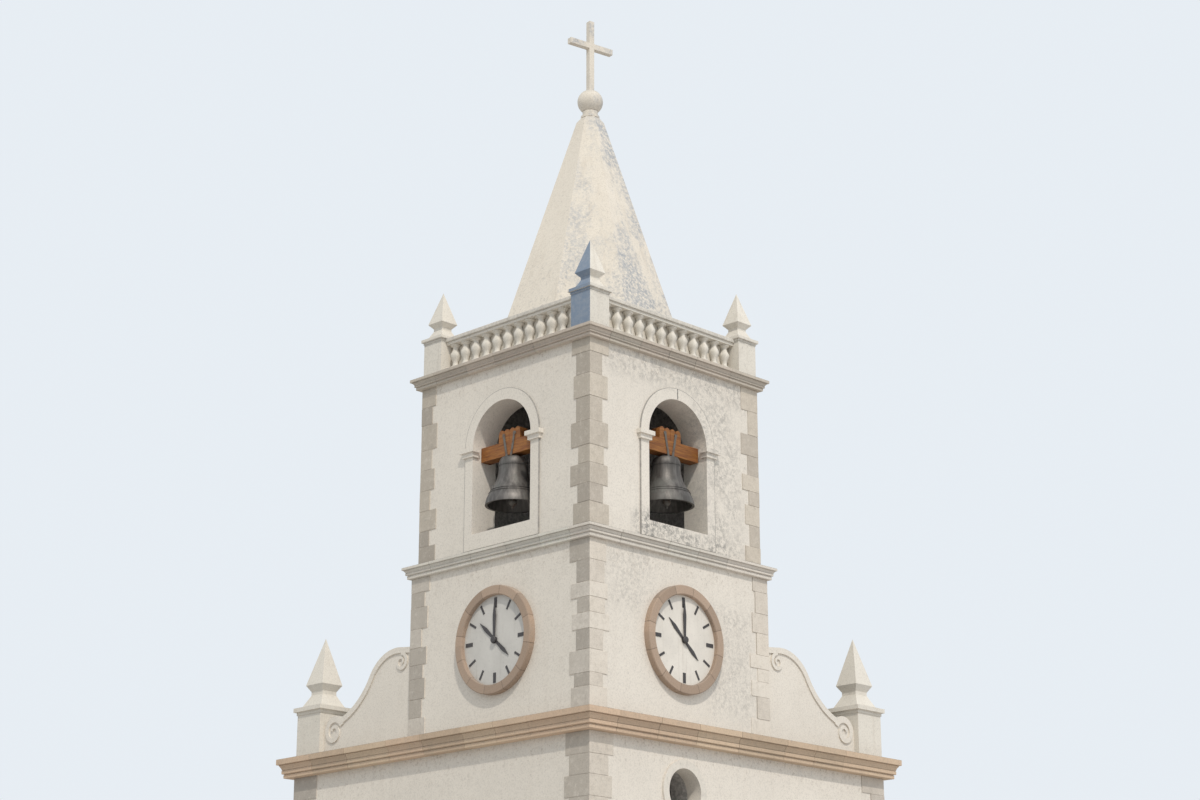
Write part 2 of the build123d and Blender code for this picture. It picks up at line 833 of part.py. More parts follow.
def spire():
    """Hollow octagonal spire on a low drum, bevelled under the finial."""
    drum = loft([octagon(spire_drum_apothem, 0), octagon(spire_drum_apothem, spire_drum_height)], ruled=True)
    shoulder_level = spire_top_height - spire_shoulder_height
    sections = [
        octagon(spire_foot_apothem, spire_drum_height),
        octagon(spire_shoulder_apothem, shoulder_level),
        octagon(spire_top_apothem, spire_top_height),
    ]
    cone = loft(sections, ruled=True)
    slope = (spire_foot_apothem - spire_shoulder_apothem) / (shoulder_level - spire_drum_height)
    hollow_apothem = spire_drum_apothem - spire_shell_thickness
    hollow_top = spire_drum_height + (hollow_apothem - spire_core_apothem) / slope
    hollow = loft(
        [
            octagon(hollow_apothem, 0),
            octagon(hollow_apothem, spire_drum_height),
            octagon(spire_core_apothem, hollow_top),
        ],
        ruled=True,
    )
    return drum + cone - hollow


def finial():
    """Collar, neck and ball on the spire's tip, with a socket for the cross."""
    neck = disc(spire_collar_radius, spire_collar_height)
    neck += Pos(0, 0, spire_collar_height) * disc(spire_neck_radius, spire_neck_height)
    ball = Pos(0, 0, ball_level()) * Sphere(ball_radius)
    socket = Pos(0, 0, ball_level() + ball_radius - cross_socket_depth) * Rot(0, 0, cross_turn) * slab(
        cross_bar_size, cross_bar_size, cross_socket_depth
    )
    return neck + ball - socket


def ball_level():
    """Height of the ball's centre above the spire's tip."""
    return spire_collar_height + spire_neck_height + ball_radius - ball_seat_depth


def cross():
    """Plain stone cross whose foot stands in the ball's socket."""
    post = slab(cross_bar_size, cross_bar_size, cross_height + cross_socket_depth)
    arm_level = cross_socket_depth + cross_arm_height - cross_bar_size / 2
    arm = Pos(0, 0, arm_level) * slab(cross_bar_size, cross_arm_length, cross_bar_size)
    return post + arm


def roof():
    """Upper cornice, slab, balustrade, pinnacles and spire."""
    course = cornice(
        bell_stage_side,
        bell_stage_wall_thickness,
        (
            (top_lower_step_height, top_lower_step_projection),
            (top_upper_step_height, top_upper_step_projection),
        ),
        (top_cove_height, top_cove_foot_projection, top_cove_head_projection),
        (top_fascia_height, top_fascia_projection),
        top_cornice_weathering,
        0,
    )
    save("top_cornice", tower * Pos(0, 0, top_cornice_level) * course)
    inside = bell_stage_side - 2 * bell_stage_wall_thickness + 2 * slab_bearing
    deck = slab(inside, inside, roof_level - top_cornice_level)
    save("roof_slab", tower * Pos(0, 0, top_cornice_level) * deck)

    corner = (bell_stage_side - roof_pedestal_side) / 2
    rail_top = bottom_rail_height + baluster_height + top_rail_bed_height + top_rail_cap_height
    post = Pos(corner, -corner, 0) * pinnacle(roof_pedestal_side, rail_top, roof_pinnacle_bud_side)
    side = balustrade() - post - Rot(0, 0, -90) * post
    save("roof_balustrade", *[tower_face(turn, roof_level) * side for turn in quarter_turns])
    save("roof_pinnacles", *[tower_face(turn, roof_level) * post for turn in quarter_turns])
    save("spire", tower * Pos(0, 0, roof_level) * spire())
    finial_level = roof_level + spire_top_height
    save("spire_ball", tower * Pos(0, 0, finial_level) * finial())
    cross_foot = finial_level + ball_level() + ball_radius - cross_socket_depth
    save("spire_cross", tower * Pos(0, 0, cross_foot) * Rot(0, 0, cross_turn) * cross())


# Terrace
def volute(radius, start, arc_angle):
    """Flat spiral strip of arcs in the XY plane, winding in to its eye from the angle start."""
    outer = []
    inner = []
    last = 2 * volute_arc_count
    for step in range(last + 1):
        share = step / last
        angle = radians(start + arc_angle * step / 2)
        reach = radius * (1 - share * (1 - volute_eye_share))
        edge = reach - radius * volute_band_share * (1 - share / 2)
        outer.append(Vector(reach * cos(angle), reach * sin(angle)))
        inner.append(Vector(edge * cos(angle), edge * sin(angle)))
    with BuildLine() as outline:
        for points in (outer, inner):
            for step in range(0, last, 2):
                ThreePointArc(*points[step : step + 3])
        Line(outer[-1], inner[-1])
        Line(inner[0], outer[0])
    return make_face(outline.line)


def arc_round(centre, start, end):
    """Shorter arc from start to end round a centre."""
    middle = (start - centre + end - centre).normalized()
    return ThreePointArc(start, centre + (start - centre).length * middle, end)


def lower_eye(run):
    """Centre of the lower volute."""
    radius = run * lower_volute_radius_share
    return Vector(run - radius, radius + lower_volute_foot)


def scroll_edge(run, inset):
    """Upper edge of a scroll wall from the tower to the lower volute, moved inwards by inset.

    It is a short line, an arc over the hump and an arc in the dip. The arcs touch where they meet.
    """
    radius = run * scroll_hump_radius_share
    dip_radius = run * scroll_dip_radius_share
    hump = Vector(run * scroll_hump_distance_share, scroll_hump_height - radius)
    landing_angle = radians(lower_volute_start)
    landing_side = Vector(cos(landing_angle), sin(landing_angle))
    landing = lower_eye(run) + run * lower_volute_radius_share * landing_side
    reach = landing - hump
    forward = reach.normalized()
    along = (reach.length**2 + radius**2 + 2 * radius * dip_radius) / (2 * reach.length)
    across = sqrt((radius + dip_radius) ** 2 - along**2)
    dip = hump + along * forward + across * Vector(-forward.Y, forward.X)

    start_angle = radians(scroll_hump_start)
    start = hump + (radius - inset) * Vector(sin(start_angle), cos(start_angle))
    meeting = hump + (radius - inset) * (dip - hump).normalized()
    end = dip + (dip_radius + inset) * (landing - dip).normalized()
    top = Line((0, scroll_height - inset), start)
    return [top, arc_round(hump, start, meeting), arc_round(dip, meeting, end)]


def scroll_wall(run):
    """S-curved wall from the tower at x = 0 to the pedestal at x = run, with a raised band and volutes."""
    eye = lower_eye(run)
    lower_radius = run * lower_volute_radius_share
    upper_radius = run * upper_volute_radius_share
    with BuildLine() as outline:
        edge = scroll_edge(run, 0)
        landing = edge[-1] @ 1
        Polyline(landing, (landing.X, 0), (0, 0), edge[0] @ 0)
    foot = Pos(landing.X, 0) * Rectangle(run - landing.X, eye.Y, align=Align.MIN)
    face = make_face(outline.line) + foot + Pos(*eye) * Circle(lower_radius)

    with BuildLine() as band:
        outer = scroll_edge(run, 0)
        inner = scroll_edge(run, scroll_band_width)
        Line(outer[0] @ 0, inner[0] @ 0)
        Line(outer[-1] @ 1, inner[-1] @ 1)
    upper_eye_level = scroll_hump_height - scroll_band_width - upper_radius + scroll_relief
    upper_eye = Pos(run * upper_volute_distance_share, upper_eye_level)
    relief = make_face(band.line) + upper_eye * volute(upper_radius, upper_volute_start, volute_arc_angle)
    lower_start = lower_volute_start + lower_volute_overlap
    relief += Pos(*eye) * volute(lower_radius, lower_start, -volute_arc_angle)
    wall = extrude(face, scroll_thickness / 2, both=True)
    return Rot(90, 0, 0) * (wall + extrude(relief, scroll_thickness / 2 + scroll_relief, both=True))


def terrace():
    """Corner pedestals with pinnacles and the two scroll walls that join them to the tower."""
    corner = (base_side - corner_pedestal_side) / 2
    post = pinnacle(corner_pedestal_side, corner_pedestal_height, pinnacle_bud_side)
    corners = ((-corner, -corner), (-corner, corner), (corner, corner))
    save("corner_pinnacles", *[Pos(x, y, terrace_level) * post for x, y in corners])

    foot = base_side / 2 - clock_stage_side - quoin_projection
    wall = scroll_wall(base_side - clock_stage_side - quoin_projection - corner_pedestal_side)
    plane = base_side / 2 - scroll_setback - scroll_thickness / 2
    save(
        "scroll_walls",
        Pos(foot, -plane, terrace_level) * Rot(0, 0, 180) * wall,
        Pos(plane, -foot, terrace_level) * Rot(0, 0, 90) * wall,
    )


os.makedirs("parts", exist_ok=True)
base_block()
clock_stage()
clocks()
bell_stage()
bells()
roof()
terrace()
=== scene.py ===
# Looks of a whitewashed bell tower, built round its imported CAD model.
# Metres, +Z up, -Y is the front face and +X the right face of the tower.

import json
import random
from math import cos, pi, radians, sin

import bmesh
import bpy
from mathutils import Matrix, Vector


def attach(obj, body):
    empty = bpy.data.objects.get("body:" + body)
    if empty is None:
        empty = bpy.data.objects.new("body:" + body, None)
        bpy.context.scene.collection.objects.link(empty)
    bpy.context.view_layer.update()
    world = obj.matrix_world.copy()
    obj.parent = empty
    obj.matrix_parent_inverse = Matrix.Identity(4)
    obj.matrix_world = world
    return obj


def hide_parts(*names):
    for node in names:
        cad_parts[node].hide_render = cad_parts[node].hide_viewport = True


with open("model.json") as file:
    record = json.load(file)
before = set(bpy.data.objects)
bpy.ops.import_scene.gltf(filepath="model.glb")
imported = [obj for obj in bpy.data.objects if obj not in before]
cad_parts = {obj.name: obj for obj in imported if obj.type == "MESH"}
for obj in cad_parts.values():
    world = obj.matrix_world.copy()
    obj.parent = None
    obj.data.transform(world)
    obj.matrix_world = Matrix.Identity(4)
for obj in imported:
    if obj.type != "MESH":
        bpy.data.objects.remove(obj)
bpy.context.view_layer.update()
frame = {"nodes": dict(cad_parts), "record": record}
nodes = frame["nodes"]

# Camera, as fitted to the photograph
CAMERA_PLACE = (27.866, -27.903, 1.590)
CAMERA_PITCH = 17.6718
CAMERA_HEADING = 44.6963
LENS = 69.83
SENSOR_WIDTH = 36.0
VIEW_DEPTH = 500.0

# Light and surroundings
SUN_DIRECTION = (0.536, -0.406, 0.740)
SUN_STRENGTH = 1.7
SUN_ANGLE = 1.5
SUN_COLOUR = (1.0, 0.94, 0.85)
FILL_STRENGTH = 0.82
FILL_COLOUR = (0.91, 0.96, 1.0)
BACKGROUND_COLOUR = (0.80, 0.85, 0.90)
FLOOR_SEEN = (0.62, 0.62, 0.61)
FLOOR_LIT = (0.46, 0.44, 0.42)
FLOOR_HALF = 150.0

# Linear colours of the coats, stones and metals
WHITEWASH = (0.86, 0.80, 0.72)
# Unplastered stone inside the rooms, kept darker than the coat as painted shade
RUBBLE_AND_PAINTED_SHADE = (0.62, 0.59, 0.56)
BROWN_STAIN = (0.40, 0.33, 0.26)
GREY_STAIN = (0.345, 0.335, 0.32)
GREY_STONE = (0.74, 0.67, 0.585)
BEIGE_STONE = (0.70, 0.625, 0.53)
SANDSTONE = (0.74, 0.565, 0.41)
PALE_MOULDING = (0.84, 0.79, 0.71)
WEATHERED = (0.66, 0.585, 0.50)
FLOOR_STONE = (0.22, 0.20, 0.17)
RING_STONE = (0.50, 0.37, 0.28)
DIAL = (0.82, 0.77, 0.70)
DIAL_FRONT_SHADE = (0.70, 0.72, 0.74)
BLACK = (0.060, 0.056, 0.058)
WORN_BLACK = (0.13, 0.115, 0.105)
BRONZE = (0.14, 0.13, 0.122)
BRONZE_GREEN = (0.20, 0.205, 0.19)
IRON = (0.17, 0.16, 0.145)
RUST = (0.16, 0.07, 0.035)
WOOD = (0.35, 0.142, 0.028)
WOOD_DARK = (0.13, 0.045, 0.014)
DOOR_WOOD = (0.10, 0.045, 0.020)
SPIRE = (0.83, 0.76, 0.665)
LICHEN = (0.30, 0.34, 0.40)
# Blue-grey painted shade for the front of the near corner pinnacle
BLUE_GREY_PAINTED_SHADE = (0.185, 0.245, 0.335)

# Noise scales along x, y and z, small along the grain
BEAM_GRAIN = (3.0, 3.0, 30.0)
DOOR_GRAIN = (40.0, 40.0, 2.0)

# Levels and places of the CAD model
BLOCK = Vector((0.0, 0.0, 0.0))
TOWER = Vector((1.455, -1.455, 0.0))
BASE_CORNICE = 7.430
TERRACE = 7.780
CLOCK_CENTRE = 9.080
MID_CORNICE = 10.390
BELFRY = 10.655
SPRING = 12.365
TOP_CORNICE = 13.655
ROOF = 13.880
BASE_HALF = 3.510
CLOCK_HALF = 2.055
BELL_HALF = 1.985
SURROUND_REACH = 0.870
RING_BLOCK = pi / 6
RIGHT_FACE = TOWER.x + BELL_HALF
TOP_RAIL = ROOF + 0.590
NEAR_PINNACLE = (3.0, -3.0)

# Rooms and the deep part of the round window, as centre and half sizes; inside them the coat, and in the
# rooms the floor, are darkened as painted shade
BELFRY_ROOM = ((TOWER.x, TOWER.y, 12.13), (1.508, 1.508, 1.53))
BASE_ROOM = ((0.0, 0.0, 3.70), (2.915, 2.915, 3.74))
OCULUS_BACK = ((3.08, TOWER.y, 6.71), (0.17, 0.40, 0.40))

# Grey growth on the right face: centre, half sizes, soft edge and strength
GROWTH = (
    ((3.44, -1.85, 10.80), (0.20, 0.50, 0.16), 0.22, 1.0),
    ((3.44, -1.20, 10.74), (0.20, 0.90, 0.06), 0.16, 0.9),
    ((3.44, -0.35, 11.60), (0.20, 0.25, 0.90), 0.35, 0.55),
    ((3.44, -0.60, 12.70), (0.20, 0.30, 0.40), 0.35, 0.55),
    ((3.44, -1.30, 13.45), (0.20, 1.60, 0.10), 0.25, 0.55),
    ((3.50, -0.30, 8.90), (0.20, 0.35, 0.70), 0.35, 0.40),
    ((3.50, -2.60, 9.90), (0.20, 0.35, 0.35), 0.35, 0.35),
)


class Graph:
    """Small builder for a material's nodes."""

    def __init__(self, name):
        self.material = bpy.data.materials.new(name)
        self.material.use_nodes = True
        self.tree = self.material.node_tree
        self.shader = self.tree.nodes["Principled BSDF"]
        self.place = self.add("ShaderNodeTexCoord").outputs["Object"]
        split = self.add("ShaderNodeSeparateXYZ", {"Vector": self.place})
        self.x, self.y, self.z = split.outputs
        normal = self.add("ShaderNodeNewGeometry").outputs["Normal"]
        facing = self.add("ShaderNodeSeparateXYZ", {"Vector": normal})
        self.facing_x, self.facing_y, self.facing_z = facing.outputs

    def add(self, kind, inputs=None, **settings):
        node = self.tree.nodes.new(kind)
        for key, value in settings.items():
            setattr(node, key, value)
        for key, value in (inputs or {}).items():
            self.put(node.inputs[key], value)
        return node

    def put(self, socket, value):
        if isinstance(value, bpy.types.NodeSocket):
            self.tree.links.new(value, socket)
        elif hasattr(socket.default_value, "__len__") and len(value) == 3 and len(socket.default_value) == 4:
            socket.default_value = (*value, 1.0)
        else:
            socket.default_value = value

    def attribute(self, name):
        return self.add("ShaderNodeAttribute", attribute_name=name).outputs["Fac"]

    def stretched(self, scale):
        mapping = self.add("ShaderNodeMapping", {"Vector": self.place, "Scale": scale})
        return mapping.outputs["Vector"]

    def noise(self, scale, detail, roughness=0.6, vector=None):
        inputs = {"Vector": vector or self.place, "Scale": scale, "Detail": detail, "Roughness": roughness}
        return self.add("ShaderNodeTexNoise", inputs).outputs["Fac"]

    def spots(self, scale):
        inputs = {"Vector": self.place, "Scale": scale}
        return self.add("ShaderNodeTexVoronoi", inputs).outputs["Distance"]

    def ramp(self, value, low, high, first=0.0, last=1.0):
        inputs = {"Value": value, "From Min": low, "From Max": high, "To Min": first, "To Max": last}
        return self.add("ShaderNodeMapRange", inputs).outputs["Result"]

    def math(self, operation, first, second=0.0):
        node = self.add("ShaderNodeMath", operation=operation)
        self.put(node.inputs[0], first)
        self.put(node.inputs[1], second)
        return node.outputs[0]

    def chain(self, operation, values):
        result = values[0]
        for value in values[1:]:
            result = self.math(operation, result, value)
        return result

    def times(self, *values):
        return self.chain("MULTIPLY", values)

    def plus(self, *values):
        return self.chain("ADD", values)

    def minus(self, first, second):
        return self.math("SUBTRACT", first, second)

    def greatest(self, *values):
        return self.chain("MAXIMUM", values)

    def above(self, value, limit):
        return self.math("GREATER_THAN", value, limit)

    def below(self, value, limit):
        return self.math("LESS_THAN", value, limit)

    def mix(self, share, first, second, blend="MIX"):
        node = self.add("ShaderNodeMix", data_type="RGBA", blend_type=blend)
        self.put(node.inputs["Factor"], share)
        self.put(node.inputs[6], first)
        self.put(node.inputs[7], second)
        return node.outputs[2]

    def multiplied(self, tone, factor):
        return self.mix(1.0, tone, factor, "MULTIPLY")

    def tinted(self, tone, red, green, blue):
        factor = self.add("ShaderNodeCombineXYZ", {0: red, 1: green, 2: blue}).outputs[0]
        return self.multiplied(tone, factor)

    def band(self, value, centre, half, soft):
        """1 where value is within half of centre, falling to 0 over soft."""
        apart = self.math("ABSOLUTE", self.minus(value, centre))
        return self.ramp(apart, half, half + soft, 1.0, 0.0)

    def within(self, room):
        """1 inside a box given as centre and half sizes."""
        centre, half = room
        away = self.add("ShaderNodeVectorMath", {0: self.place, 1: centre}, operation="SUBTRACT")
        away = self.add("ShaderNodeVectorMath", {0: away.outputs[0]}, operation="ABSOLUTE")
        away = self.add("ShaderNodeVectorMath", {0: away.outputs[0], 1: half}, operation="SUBTRACT")
        x, y, z = self.add("ShaderNodeSeparateXYZ", {"Vector": away.outputs[0]}).outputs
        return self.below(self.greatest(x, y, z), 0.0)

    def patch(self, centre, half, soft):
        """1 inside a box, falling to 0 over soft."""
        axes = zip((self.x, self.y, self.z), centre, half)
        return self.times(*[self.band(value, middle, reach, soft) for value, middle, reach in axes])

    def looks_front(self, full, none):
        """1 on faces that look along -Y, falling to 0 as the normal's y goes from full to none."""
        return self.ramp(self.facing_y, full, none, 1.0, 0.0)

    def from_axis(self, level, on_front):
        """Distances across and above an axis that runs into the tower's front or right face at level."""
        across_front = self.times(on_front, self.minus(self.x, TOWER.x))
        across_right = self.times(self.minus(1.0, on_front), self.minus(self.y, TOWER.y))
        return self.plus(across_front, across_right), self.minus(self.z, level)

    def joints(self, position, length, width):
        """Dark lines between blocks laid along position, and each block's random number."""
        share = self.math("DIVIDE", position, length)
        apart = self.math("ABSOLUTE", self.minus(self.math("FRACT", share), 0.5))
        line = self.ramp(apart, 0.5 - width / length, 0.5 - width / length / 3)
        number = self.add("ShaderNodeTexWhiteNoise", {"W": self.math("FLOOR", share)}, noise_dimensions="1D")
        return line, number.outputs["Value"]

    def finish(self, colour, roughness, height=None, bump=0.0, distance=0.0, metallic=0.0):
        self.put(self.shader.inputs["Base Color"], colour)
        self.put(self.shader.inputs["Roughness"], roughness)
        self.put(self.shader.inputs["Metallic"], metallic)
        if height is not None:
            inputs = {"Height": height, "Strength": bump, "Distance": distance}
            relief = self.add("ShaderNodeBump", inputs)
            self.put(self.shader.inputs["Normal"], relief.outputs["Normal"])
        return self.material


def shade(colour, factor):
    return tuple(channel * factor for channel in colour)


def weather(graph, colour, speckle, streak, stain, shadow_side):
    """Broad tone, stains, flaked specks, rain streaks, stipple, dust on ledges, and painted shade on faces
    that look to the front.
    """
    broad = graph.noise(0.55, 4.0)
    middle = graph.noise(2.6, 7.0, 0.68)
    fine = graph.noise(17.0, 7.0, 0.72)
    grain = graph.noise(85.0, 3.0, 0.7)
    tone = graph.mix(graph.ramp(broad, 0.35, 0.65), shade(colour, 0.94), colour)
    tone = graph.mix(graph.times(graph.ramp(middle, 0.52, 0.72), stain), tone, BROWN_STAIN)
    cluster = graph.ramp(middle, 0.42, 0.60, 0.15, 1.0)
    flakes = graph.times(graph.ramp(fine, 0.585, 0.66), cluster, speckle)
    tone = graph.mix(flakes, tone, GREY_STAIN)
    runs = graph.noise(1.0, 5.0, 0.6, graph.stretched((7.0, 7.0, 0.45)))
    tone = graph.mix(graph.times(graph.ramp(runs, 0.54, 0.72), streak), tone, shade(BROWN_STAIN, 1.15))
    stipple = graph.noise(42.0, 5.0, 0.75)
    tone = graph.mix(graph.ramp(stipple, 0.50, 0.62, 0.0, 0.34), tone, shade(colour, 0.55))
    tone = graph.mix(graph.ramp(stipple, 0.46, 0.36, 0.0, 0.20), tone, shade(colour, 1.12))
    ledge = graph.ramp(graph.facing_z, 0.45, 0.9, 0.0, 0.45)
    tone = graph.mix(ledge, tone, shade(GREY_STAIN, 0.8))
    # Painted shade: faces that look along -Y are darkened by the shadow_side factor, standing for the front
    # face's lesser sun.
    shaded = graph.multiplied(tone, (shadow_side, shadow_side, shadow_side * 0.99))
    tone = graph.mix(graph.looks_front(-0.75, -0.35), tone, shaded)
    height = graph.plus(graph.times(middle, 0.6), graph.times(fine, 0.5), graph.times(grain, 0.25))
    height = graph.minus(height, graph.times(flakes, 0.25))
    return tone, height, fine


def growth(graph, tone):
    """Fine grey growth where water lies: below the right arch, beside it and under the cornices."""
    patches = [
        graph.times(graph.patch(centre, half, soft), strength) for centre, half, soft, strength in GROWTH
    ]
    curls = graph.ramp(graph.noise(12.0, 9.0, 0.86), 0.46, 0.55)
    ragged = graph.ramp(graph.noise(3.4, 6.0, 0.7), 0.36, 0.54, 0.35, 1.0)
    share = graph.times(curls, ragged, graph.greatest(*patches), 0.85)
    return graph.mix(share, tone, shade(GREY_STAIN, 0.72))


def limewash():
    """Wall coat, stained under each cornice and at the ground; in the rooms and the round window's deep
    reveal it turns to unplastered stone, darkened as painted shade.
    """
    graph = Graph("limewash")
    tone, height, fine = weather(graph, WHITEWASH, 0.34, 0.07, 0.08, 0.86)
    zones = [
        graph.times(graph.ramp(graph.z, top - 0.55, top), graph.below(graph.z, top + 0.01))
        for top in (BASE_CORNICE, MID_CORNICE, TOP_CORNICE)
    ]
    wet = graph.greatest(*zones)
    drip = graph.noise(1.0, 6.0, 0.7, graph.stretched((9.0, 9.0, 0.9)))
    tone = graph.mix(graph.times(graph.ramp(drip, 0.50, 0.68), wet, 0.16), tone, GREY_STAIN)
    flaked = graph.times(graph.ramp(fine, 0.55, 0.61), wet, 0.42)
    tone = graph.mix(flaked, tone, shade(BROWN_STAIN, 1.1))
    tone = growth(graph, tone)
    splash = graph.times(graph.ramp(graph.z, 0.05, 0.8, 1.0, 0.0), graph.ramp(fine, 0.35, 0.62), 0.6)
    tone = graph.mix(splash, tone, shade(BROWN_STAIN, 0.8))
    # Painted shade: unplastered stone, darkened, fills the rooms and the round window's deep reveal so that
    # they read dark.
    painted_room_shade = graph.greatest(graph.within(BELFRY_ROOM), graph.within(BASE_ROOM), graph.within(OCULUS_BACK))
    rubble_and_shade = graph.mix(graph.ramp(fine, 0.4, 0.6), shade(RUBBLE_AND_PAINTED_SHADE, 0.6), RUBBLE_AND_PAINTED_SHADE)
    tone = graph.mix(painted_room_shade, tone, rubble_and_shade)
    return graph.finish(tone, 0.92, height, 0.42, 0.012)


def arch_coat():
    """Band round the arches, dark along its outer edge, with a crack at the crown of the right one."""
    graph = Graph("arch_coat")
    tone, height, fine = weather(graph, WHITEWASH, 0.34, 0.07, 0.08, 0.86)
    tone = growth(graph, tone)
    from_middle = graph.math("ABSOLUTE", graph.minus(graph.x, TOWER.x))
    on_front = graph.minus(1.0, graph.above(from_middle, BELL_HALF - 0.002))
    across, up = graph.from_axis(SPRING, on_front)
    up = graph.greatest(up, 0.0)
    reach = graph.math("SQRT", graph.plus(graph.times(across, across), graph.times(up, up)))
    under_impost = graph.below(graph.z, SPRING - 0.15)
    over_impost = graph.above(graph.z, SPRING + 0.002)
    edge = graph.times(graph.above(reach, SURROUND_REACH - 0.008), graph.greatest(under_impost, over_impost))
    edge = graph.times(edge, graph.ramp(fine, 0.3, 0.55, 0.45, 0.85))
    tone = graph.mix(edge, tone, shade(GREY_STAIN, 0.75))
    wander = graph.plus(graph.times(graph.minus(graph.noise(14.0, 2.0), 0.5), 0.03), graph.y)
    crack = graph.times(
        graph.band(wander, TOWER.y, 0.007, 0.006),
        graph.above(graph.z, SPRING + 0.69),
        graph.above(graph.x, RIGHT_FACE - 0.01),
        0.85,
    )
    tone = graph.mix(crack, tone, shade(GREY_STAIN, 0.25))
    return graph.finish(tone, 0.92, height, 0.42, 0.012)


def stone(name, colour, spread=0.22, shadow_side=0.70):
    """Dressed stone whose tint comes from each block's own number."""
    graph = Graph(name)
    tone, height, fine = weather(graph, colour, 0.5, 0.14, 0.18, shadow_side)
    own = graph.attribute("own")
    darker = graph.multiplied(tone, (1 - spread, 1 - spread, 1 - spread * 0.92))
    tone = graph.mix(graph.ramp(own, 0.55, 1.0), tone, darker)
    washed = graph.mix(graph.ramp(fine, 0.35, 0.6, 0.7, 0.35), tone, WHITEWASH)
    tone = graph.mix(graph.ramp(own, 0.30, 0.0), tone, washed)
    mottle = graph.noise(9.0, 8.0, 0.78)
    tone = graph.mix(graph.ramp(mottle, 0.50, 0.66, 0.0, 0.42), tone, shade(colour, 0.62))
    pale = graph.mix(0.5, WHITEWASH, tone)
    tone = graph.mix(graph.ramp(mottle, 0.48, 0.34, 0.0, 0.50), tone, pale)
    pits = graph.times(graph.ramp(graph.spots(46.0), 0.0, 0.16, 1.0, 0.0), graph.ramp(fine, 0.5, 0.62))
    tone = graph.mix(graph.times(pits, 0.5), tone, shade(colour, 0.45))
    height = graph.minus(height, graph.times(pits, 0.4))
    return graph.finish(tone, 0.9, height, 0.5, 0.012)


def course(name, colour, spread=0.16, shadow_side=0.82):
    """Moulded course of blocks, each with its own tint, and dark where its seams are."""
    graph = Graph(name)
    tone, height, fine = weather(graph, colour, 0.5, 0.16, 0.24, shadow_side)
    own = graph.attribute("own")
    tint = graph.ramp(own, 0.0, 1.0, 1 - spread, 1.03)
    warm = graph.ramp(graph.math("FRACT", graph.times(own, 7.0)), 0.0, 1.0, 0.98, 1.03)
    tone = graph.tinted(tone, graph.times(tint, warm), tint, tint)
    speck = graph.times(graph.ramp(graph.noise(46.0, 5.0, 0.7), 0.56, 0.64), 0.35)
    tone = graph.mix(speck, tone, shade(colour, 0.42))
    blotches = graph.ramp(graph.noise(14.0, 8.0, 0.8), 0.42, 0.56)
    dirt = graph.times(graph.ramp(graph.facing_z, 0.10, 0.50), blotches, 0.80)
    tone = graph.mix(dirt, tone, shade(GREY_STAIN, 0.62))
    seam = graph.ramp(graph.attribute("seam"), 0.35, 0.95)
    line = graph.times(seam, graph.ramp(fine, 0.36, 0.5, 0.45, 0.9))
    tone = graph.mix(line, tone, shade(colour, 0.22))
    return graph.finish(tone, 0.9, height, 0.5, 0.012)


def moulding():
    """Whitewashed balusters and pinnacles, with a dirty rail and blue-grey painted shade on the near
    pinnacle's front.
    """
    graph = Graph("washed_moulding")
    tone, height, fine = weather(graph, PALE_MOULDING, 0.45, 0.22, 0.14, 0.84)
    blotches = graph.ramp(graph.noise(13.0, 8.0, 0.8), 0.40, 0.60)
    rail = graph.times(graph.band(graph.z, TOP_RAIL, 0.04, 0.01), blotches, 0.42)
    tone = graph.mix(rail, tone, shade(GREY_STAIN, 0.9))
    # Painted shade: the near corner pinnacle's front faces are coloured blue-grey.
    near = graph.times(
        graph.above(graph.x, NEAR_PINNACLE[0]),
        graph.below(graph.y, NEAR_PINNACLE[1]),
        graph.above(graph.z, ROOF),
        graph.looks_front(-0.6, -0.3),
        graph.ramp(fine, 0.3, 0.6, 0.80, 0.97),
    )
    tone = graph.mix(near, tone, BLUE_GREY_PAINTED_SHADE)
    return graph.finish(tone, 0.9, height, 0.4, 0.010)


def spire_coat():
    """Spire's coat, with bluish lichen on the right faces and grey specks near its foot."""
    graph = Graph("spire_coat")
    tone, height, fine = weather(graph, SPIRE, 0.5, 0.22, 0.16, 0.92)
    cloudy = graph.noise(1.5, 8.0, 0.72, graph.stretched((1.0, 1.0, 0.55)))
    patches = graph.times(
        graph.ramp(cloudy, 0.44, 0.57),
        graph.ramp(graph.facing_x, 0.40, 0.85),
        graph.ramp(fine, 0.40, 0.56),
        0.70,
    )
    tone = graph.mix(patches, tone, LICHEN)
    low = graph.ramp(graph.z, ROOF + 0.4, ROOF + 2.2, 1.0, 0.0)
    tone = graph.mix(graph.times(low, graph.ramp(fine, 0.52, 0.62), 0.5), tone, GREY_STAIN)
    return graph.finish(tone, 0.92, height, 0.45, 0.012)


def ring_stone():
    """Clock ring in twelve curved blocks."""
    graph = Graph("ring_stone")
    tone, height, _ = weather(graph, RING_STONE, 0.45, 0.2, 0.35, 0.86)
    on_front = graph.below(graph.y, TOWER.y - CLOCK_HALF)
    across, up = graph.from_axis(CLOCK_CENTRE, on_front)
    angle = graph.math("ARCTAN2", up, across)
    line, own = graph.joints(graph.plus(angle, 0.2), RING_BLOCK, 0.010)
    tint = graph.ramp(own, 0.0, 1.0, 0.82, 1.08)
    tone = graph.tinted(tone, tint, tint, tint)
    tone = graph.mix(graph.times(line, 0.6), tone, shade(RING_STONE, 0.25))
    height = graph.minus(height, graph.times(line, 0.8))
    return graph.finish(tone, 0.88, height, 0.45, 0.010)


